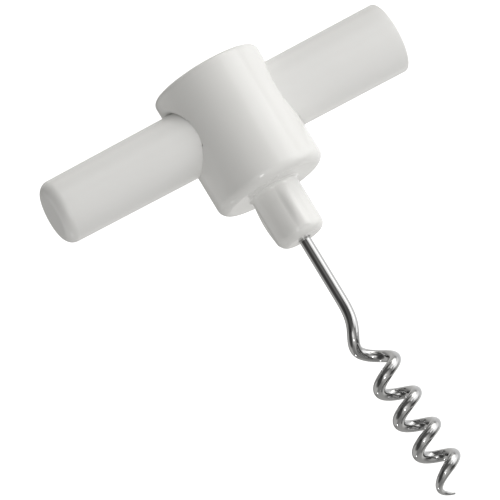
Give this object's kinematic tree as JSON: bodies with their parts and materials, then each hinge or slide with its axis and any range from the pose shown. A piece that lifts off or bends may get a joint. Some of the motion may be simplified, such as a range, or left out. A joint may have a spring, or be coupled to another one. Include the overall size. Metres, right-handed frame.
{
  "type": "pocket corkscrew",
  "caption": "T-handle pocket corkscrew: wire worm moulded in a round plastic head, with a tapered sheath that slides through the head as a handle or covers the worm.",
  "frame": {"origin": "centre of the hub's flat top face, on which the tool stands with its worm upwards", "axes": "+Z along the worm towards its point, +X along the sheath towards its closed end, -Y towards the camera of the picture"},
  "size_m": [0.0901, 0.027, 0.1117],
  "materials": {
    "head_plastic": "moulded, low gloss",
    "sheath_plastic": "moulded, low gloss",
    "plated_wire": "bright plating over drawn wire"
  },
  "bodies": {
    "head": {"head": "head_plastic", "worm": "plated_wire"},
    "sheath": {"sheath": "sheath_plastic"}
  },
  "joints": [
    {"name": "sheath_slide", "type": "slide", "parent": "head", "child": "sheath", "axis": [-1, 0, 0], "range_m": [0, 0.0655]}
  ]
}
